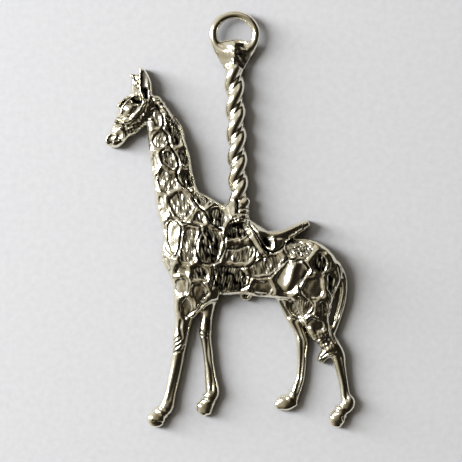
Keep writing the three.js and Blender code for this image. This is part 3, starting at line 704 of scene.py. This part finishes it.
def castMane():
    line = smoothLine([(*spot, 0) for spot in maneTufts["line"]])
    curve = bpy.data.curves.new("maneLine", "CURVE")
    curve.dimensions = "3D"
    spline = curve.splines.new("POLY")
    spline.points.add(len(line) - 1)
    for point, (across, up, _) in zip(spline.points, line):
        point.co = (*at((across, up), maneTufts["height"]), 1)
    sizes = {
        "Count": maneTufts["count"], "Length": maneTufts["length"] * toMetres,
        "Width": maneTufts["width"] * toMetres, "Lean": maneTufts["lean"], "Seed": maneTufts["seed"],
    }
    return grow("maneLocks", tuftTree(sizes), sizes, curve)


def patchClear(x, y):
    # How far inside a patch each place lies, and which patch that is.
    across, up = (x - figure["shiftX"]) / share, (y - figure["shiftY"]) / share
    first, second = np.full(x.shape, -99.0), np.full(x.shape, -99.0)
    which = np.zeros(x.shape, int)
    power = hide["squareness"]
    for number, (middleX, middleY, halfLength, halfWidth, turn) in enumerate(patches):
        cosine, sine = math.cos(math.radians(turn)), math.sin(math.radians(turn))
        along = np.abs((across - middleX) * cosine + (up - middleY) * sine) / halfLength
        aside = np.abs((up - middleY) * cosine - (across - middleX) * sine) / halfWidth
        size = np.maximum((along**power + aside**power) ** (1 / power), 1e-6)
        slope = np.hypot(along ** (power - 1) / halfLength, aside ** (power - 1) / halfWidth)
        inside = (1 - size) / np.maximum(slope * size ** (1 - power), 0.1) * share + hide["swell"]
        ahead = inside > first
        second = np.where(ahead, first, np.maximum(second, inside))
        which = np.where(ahead, number, which)
        first = np.where(ahead, inside, first)
    shared = (first - second) / 2
    meet = np.clip(hide["rounding"] - np.abs(first - shared), 0, None)
    return np.minimum(first, shared) - meet * meet / (4 * hide["rounding"]), which


def carve(points, normals):
    # Sinks the patches, their hatching, the grooves and the rough spots into the skin.
    x, y = points[:, 0], points[:, 1]
    clear, which = patchClear(x, y)
    wobble = waves(x, y, *ripples["edge"]) + 0.5 * waves(x, y, *ripples["fineEdge"])
    clear = clear + hide["wobble"] * wobble
    furrow = 1 - between(0.0, hide["furrowReach"], np.abs(clear))
    furrow = furrow * between(-0.5, 0.9, waves(x, y, *ripples["furrow"]))
    floor = between(hide["floorStart"], hide["floorEnd"], clear)
    depth = hide["furrowDepth"] * furrow + hide["floorDepth"] * floor
    depth = depth + hide["shoulder"] * between(hide["shoulderStart"], hide["shoulderEnd"], clear)
    # every patch's hatching leans its own way
    lean = np.array([math.sin(5.1 * k) * hide["hatchLean"] for k in range(len(patches))])[which]
    sway = waves(x, y, *ripples["bend"]) * hide["hatchBend"]
    sway = sway + waves(x, y, *ripples["fineBend"]) * hide["hatchFineBend"]
    comb = 0.5 + 0.5 * np.cos((x + lean * y + sway) * 2 * math.pi / hide["hatchPitch"])
    comb = comb * between(-0.55, 0.35, waves(x, y * 0.6, *ripples["gaps"]))
    smooth, dark = np.isin(which, smoothPatches), np.isin(which, darkPatches)
    depth = depth - hide["hatchHeight"] * floor * comb * np.where(smooth, hide["smoothHatch"], 1.0)
    uneven = waves(x, y, *ripples["floor"]) * np.where(smooth, hide["smoothUneven"], 1.0)
    depth = depth - hide["unevenness"] * floor * uneven
    kind = np.where(smooth, hide["smoothStain"], np.where(dark, hide["darkStain"], hide["plainStain"]))
    stain = floor * (1 - 0.9 * comb) * kind
    foot = np.exp(-(((clear - hide["floorEnd"] + 0.02) / 0.12) ** 2))
    stain = np.maximum(stain, hide["edgeStain"] * foot)
    stain = np.maximum(stain, hide["furrowStain"] * furrow**2)
    for deep, halfWidth, line in grooves:
        away = strokeDistance(x, y, line) / halfWidth
        cut = np.exp(-(away**2))
        depth = depth + deep * cut
        if deep > 0:
            stain = np.maximum(stain, between(0.1, 0.75, cut) * min(1, deep * 3.5))
    fine = waves(x, y, *ripples["lump"]) + 0.6 * waves(x, y, *ripples["fineLump"])
    broad = waves(x, y, *ripples["blister"])
    for spots, lumps in ((roughSpots, fine), (blisters, broad)):
        for across, up, reach, high in spots:
            away = strokeDistance(x, y, ((across, up),)) / (reach * share)
            spot = np.exp(-(away**4))
            depth = depth + high * spot * lumps
            stain = np.maximum(stain, spot * (0.1 + 0.75 * between(-0.1, 0.8, lumps)))
    upward = between(0.0, 0.35, normals[:, 2])  # the sides and the back stay plain
    return points - normals * (depth * upward)[:, None], stain * upward


def facesNormals(points, quads):
    a, b, c, d = (points[quads[:, k]] for k in range(4))
    flat = np.cross(c - a, d - b)
    normals = np.zeros_like(points)
    for k in range(4):
        for axis in range(3):
            normals[:, axis] += np.bincount(quads[:, k], flat[:, axis], len(points))
    return normals / np.maximum(np.linalg.norm(normals, axis=1, keepdims=True), 1e-12)


def smoothed(points, quads, rounds, back=-0.52):
    # Evens out the cells without shrinking the form: a step in, then nearly as far out again.
    edges = np.vstack([quads[:, [k, (k + 1) % 4]] for k in range(4)])
    edges = np.vstack([edges, edges[:, ::-1]])
    count = np.maximum(np.bincount(edges[:, 0], minlength=len(points)), 1)
    for _ in range(rounds):
        for step in (0.5, back):
            moved = np.empty_like(points)
            for axis in range(3):
                total = np.bincount(edges[:, 0], points[edges[:, 1], axis], len(points))
                moved[:, axis] = total / count - points[:, axis]
            points = points + step * moved
    return points


def castGiraffe(material):
    cast = Casting(figure["roomLow"], figure["roomHigh"], figure["grain"])
    for stations in bodyLimbs.values():
        cast.limb(stations, melt["body"], figure["bodyFullness"])
    for stations in plainLimbs.values():
        cast.limb(stations, melt["limb"])
    print("limbs cast")
    for start, end, width, line in ridges.values():
        crests = np.linspace(start, end, len(line))
        cast.limb([(*spot, width / 2 / share, crest) for spot, crest in zip(line, crests)], melt["ridge"])
    for knob in knobs.values():
        cast.ball(*knob, melt["knob"])
    for piece in (castPole(), castCap(), castRing(), *castAnkles(), castMane()):
        cast.mesh(piece, melt.get(piece.name, melt["knob"]))
        print(piece.name, "cast in")
    points, quads = cast.surface()
    a, b, c = (points[quads[:, k]] for k in range(3))
    if np.einsum("ij,ij->", a, np.cross(b, c)) < 0:  # the faces look inwards
        quads = quads[:, ::-1]
    points = smoothed(points, quads, figure["evenings"])
    points, stain = carve(points, facesNormals(points, quads))
    # wear leaves the tarnish in whatever lies hollow
    normals = facesNormals(points, quads)
    sunk = ((smoothed(points, quads, figure["hollowEvenings"], 0.0) - points) * normals).sum(1)
    stain = np.maximum(stain, between(*silver["hollow"], sunk) * between(0.0, 0.2, normals[:, 2]))
    points[points[:, 2] < figure["flatUnder"], 2] = 0.0
    # the last hundredths past the solid's box come off
    points = np.clip(points, *(np.array(corner) / toMetres for corner in cadBox))
    mesh = bpy.data.meshes.new("giraffe")
    mesh.from_pydata((points * toMetres).tolist(), [], quads.tolist())
    mesh.materials.append(material)
    layer = mesh.attributes.new("tarnish", "FLOAT", "POINT")
    layer.data.foreach_set("value", np.clip(stain, 0, 1).astype(np.float32))
    print("skin of", len(quads), "faces carved")
    return inScene("giraffe", mesh)


def mixed(tree, factor, first, second):
    # Blends two colours.
    blend = nodeIn(tree, "ShaderNodeMix", {"Factor": factor, 6: first, 7: second}, data_type="RGBA")
    return blend.outputs[2]


def tarnishGroup():
    # Turns the tarnish into colour and roughness, and adds fine scratches and dimples.
    tree = bpy.data.node_groups.new("tarnishedSilver", "ShaderNodeTree")
    for label, kind, value in (
        ("Mask", "Float", 0.0), ("Bright", "Color", (0.9, 0.87, 0.8, 1)),
        ("Dark", "Color", (0.05, 0.04, 0.03, 1)), ("Warm", "Color", (0.6, 0.5, 0.36, 1)),
        ("Roughness", "Float", 0.12),
    ):
        socket = tree.interface.new_socket(label, in_out="INPUT", socket_type="NodeSocket" + kind)
        socket.default_value = value
    for label, kind in (("Color", "Color"), ("Roughness", "Float"), ("Height", "Float")):
        tree.interface.new_socket(label, in_out="OUTPUT", socket_type="NodeSocket" + kind)
    given = tree.nodes.new("NodeGroupInput").outputs
    result = tree.nodes.new("NodeGroupOutput")
    where = tree.nodes.new("ShaderNodeTexCoord").outputs["Object"]
    cloud = nodeIn(tree, "ShaderNodeTexNoise", {
        "Vector": where, "Scale": 420.0, "Detail": 5.0, "Roughness": 0.6})
    speck = nodeIn(tree, "ShaderNodeTexNoise", {"Vector": where, "Scale": 2600.0, "Detail": 3.0})
    stretch = nodeIn(tree, "ShaderNodeMapping", {
        "Vector": where, "Rotation": (0.2, 0.1, 0.7), "Scale": (1.0, 14.0, 14.0)})
    scratch = nodeIn(tree, "ShaderNodeTexNoise", {
        "Vector": stretch.outputs[0], "Scale": 300.0, "Detail": 4.0})
    uneven = calc(tree, "MULTIPLY_ADD", cloud.outputs[0], 0.7, -0.35)
    stain = nodeIn(tree, "ShaderNodeMapRange", {
        "Value": calc(tree, "ADD", given["Mask"], uneven), "From Min": 0.25, "From Max": 0.95}).outputs[0]
    film = nodeIn(tree, "ShaderNodeMapRange", {
        "Value": cloud.outputs[0], "From Min": 0.42, "From Max": 0.72, "To Max": 0.45}).outputs[0]
    metal = mixed(tree, film, given["Bright"], given["Warm"])
    rough = calc(tree, "MULTIPLY_ADD", stain, 0.15, given["Roughness"])
    scored = calc(tree, "MULTIPLY", scratch.outputs[0], 0.3)
    feed(tree, result, {
        "Color": mixed(tree, stain, metal, given["Dark"]),
        "Roughness": calc(tree, "MULTIPLY_ADD", scratch.outputs[0], 0.08, rough),
        "Height": calc(tree, "MULTIPLY_ADD", speck.outputs[0], 0.35, scored),
    })
    return tree


silver = {
    "bright": (0.93, 0.89, 0.74, 1), "warm": (0.72, 0.63, 0.42, 1), "dark": (0.004, 0.003, 0.002, 1),
    "hollow": (0.012, 0.05),  # millimetres under the skin around it, from clean to tarnished
    "roughness": 0.13, "bump": 0.25, "bumpDepth": 0.00002,
}


def newMaterial(name):
    material = bpy.data.materials.new(name)
    material.use_nodes = True
    return material, material.node_tree, material.node_tree.nodes["Principled BSDF"]


def silverMaterial():
    material, tree, shader = newMaterial("antiquedSilver")
    mask = nodeIn(tree, "ShaderNodeAttribute", {}, attribute_name="tarnish")
    worn = tree.nodes.new("ShaderNodeGroup")
    worn.node_tree = tarnishGroup()
    feed(tree, worn, {
        "Mask": mask.outputs["Fac"], "Bright": silver["bright"], "Warm": silver["warm"],
        "Dark": silver["dark"], "Roughness": silver["roughness"]})
    bump = nodeIn(tree, "ShaderNodeBump", {
        "Strength": silver["bump"], "Distance": silver["bumpDepth"], "Height": worn.outputs["Height"]})
    feed(tree, shader, {
        "Metallic": 1.0, "Base Color": worn.outputs["Color"], "Roughness": worn.outputs["Roughness"],
        "Normal": bump.outputs[0]})
    return material


# In metres, a hair under the casting's back, so that they share no plane.
paper = {
    "size": 3.0, "height": -0.00003, "colour": (0.67, 0.67, 0.69), "roughness": 0.85,
    "grain": 900.0, "bump": 0.3, "bumpDepth": 0.0001,
}


def layPaper():
    mesh = bpy.data.meshes.new("paper")
    half = paper["size"] / 2
    corners = ((-half, -half), (half, -half), (half, half), (-half, half))
    mesh.from_pydata([(x, y, paper["height"]) for x, y in corners], [], [(0, 1, 2, 3)])
    material, tree, shader = newMaterial("palePaper")
    where = tree.nodes.new("ShaderNodeTexCoord").outputs["Object"]
    grain = nodeIn(tree, "ShaderNodeTexNoise", {"Vector": where, "Scale": paper["grain"], "Detail": 4.0})
    tone = nodeIn(tree, "ShaderNodeMapRange", {
        "Value": grain.outputs[0], "From Min": 0.3, "From Max": 0.7, "To Min": 0.96, "To Max": 1.03})
    tint = nodeIn(tree, "ShaderNodeVectorMath", {
        0: paper["colour"], "Scale": tone.outputs[0]}, operation="SCALE")
    bump = nodeIn(tree, "ShaderNodeBump", {
        "Strength": paper["bump"], "Distance": paper["bumpDepth"], "Height": grain.outputs[0]})
    feed(tree, shader, {
        "Roughness": paper["roughness"], "Base Color": tint.outputs[0], "Normal": bump.outputs[0]})
    mesh.materials.append(material)
    inScene("paper", mesh)


studio = {
    # the room's light from far left to far right
    "room": ((0.0, (0.72, 0.72, 0.71, 1)), (0.25, (0.5, 0.475, 0.42, 1)), (0.42, (0.32, 0.285, 0.22, 1)),
             (0.51, (0.19, 0.16, 0.112, 1)), (0.59, (0.02, 0.017, 0.012, 1)), (0.9, (0.01, 0.008, 0.006, 1)),
             (1.0, (0.1, 0.09, 0.075, 1))),
    "wall": (0.55, 0.55, 0.56, 1),
    # place, aim and size in metres, power in watts, colour
    "window": ((-0.56, 0.16, 0.36), (0, 0, 0), (0.2, 0.7), 8.8, (0.97, 0.985, 1.0)),
    "fill": ((0.1, 0.5, 0.5), (0, 0, 0), (0.4, 0.3), 0.15, (1.0, 0.98, 0.94)),
}


def lightStudio():
    world = bpy.data.worlds.new("studio")
    bpy.context.scene.world = world
    world.use_nodes = True
    tree = world.node_tree
    where = nodeIn(tree, "ShaderNodeSeparateXYZ", {
        0: tree.nodes.new("ShaderNodeTexCoord").outputs["Generated"]})
    ramp = tree.nodes.new("ShaderNodeValToRGB")
    for k, (spot, colour) in enumerate(studio["room"]):
        stop = ramp.color_ramp.elements[k] if k < 2 else ramp.color_ramp.elements.new(spot)
        stop.position, stop.color = spot, colour
    side = calc(tree, "MULTIPLY_ADD", where.outputs[0], 0.46, 0.5)
    tree.links.new(calc(tree, "MULTIPLY_ADD", where.outputs[1], -0.2, side), ramp.inputs[0])
    # the camera itself sees a plain pale wall behind the paper
    byCamera = tree.nodes.new("ShaderNodeLightPath").outputs["Is Camera Ray"]
    seen = mixed(tree, byCamera, ramp.outputs[0], studio["wall"])
    tree.links.new(seen, tree.nodes["Background"].inputs["Color"])
    for name in ("window", "fill"):
        spot, aim, size, power, colour = studio[name]
        lamp = bpy.data.lights.new(name, "AREA")
        lamp.shape, lamp.size, lamp.size_y, lamp.energy, lamp.color = "RECTANGLE", *size, power, colour
        holder = inScene(name, lamp)
        holder.location = spot
        holder.rotation_euler = (Vector(aim) - Vector(spot)).to_track_quat("-Z", "Y").to_euler()


camera = {
    "lens": 150.0, "sensor": 36.0,
    "frameWidth": 0.08434,  # metres seen across, at the height of the widest line
    "middle": (0.00013, -0.00204), "plane": 0.0019,
}


def placeCamera():
    lens = bpy.data.cameras.new("overhead")
    lens.lens, lens.sensor_width = camera["lens"], camera["sensor"]
    lens.clip_start, lens.clip_end = 0.01, 10
    holder = inScene("overhead", lens)
    away = camera["frameWidth"] * camera["lens"] / camera["sensor"]
    holder.location = (*camera["middle"], camera["plane"] + away)
    bpy.context.scene.camera = holder


placeCamera()
lightStudio()
layPaper()
print("camera, light and paper in place")
giraffe = castGiraffe(silverMaterial())
carved = len(giraffe.data.polygons) * 2
if carved > figure["triangles"]:
    thin = giraffe.modifiers.new("thin", "DECIMATE")
    thin.ratio = figure["triangles"] / carved
    slim = asMesh(giraffe)
    giraffe.modifiers.clear()
    giraffe.data = slim
for face in giraffe.data.polygons:
    face.use_smooth = True
print("giraffe of", sum(len(face.vertices) - 2 for face in giraffe.data.polygons), "triangles")
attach(giraffe, "root")
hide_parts("giraffe_pendant")

bpy.context.scene.view_settings.view_transform = "Standard"
bpy.context.scene.cycles.caustics_reflective = False
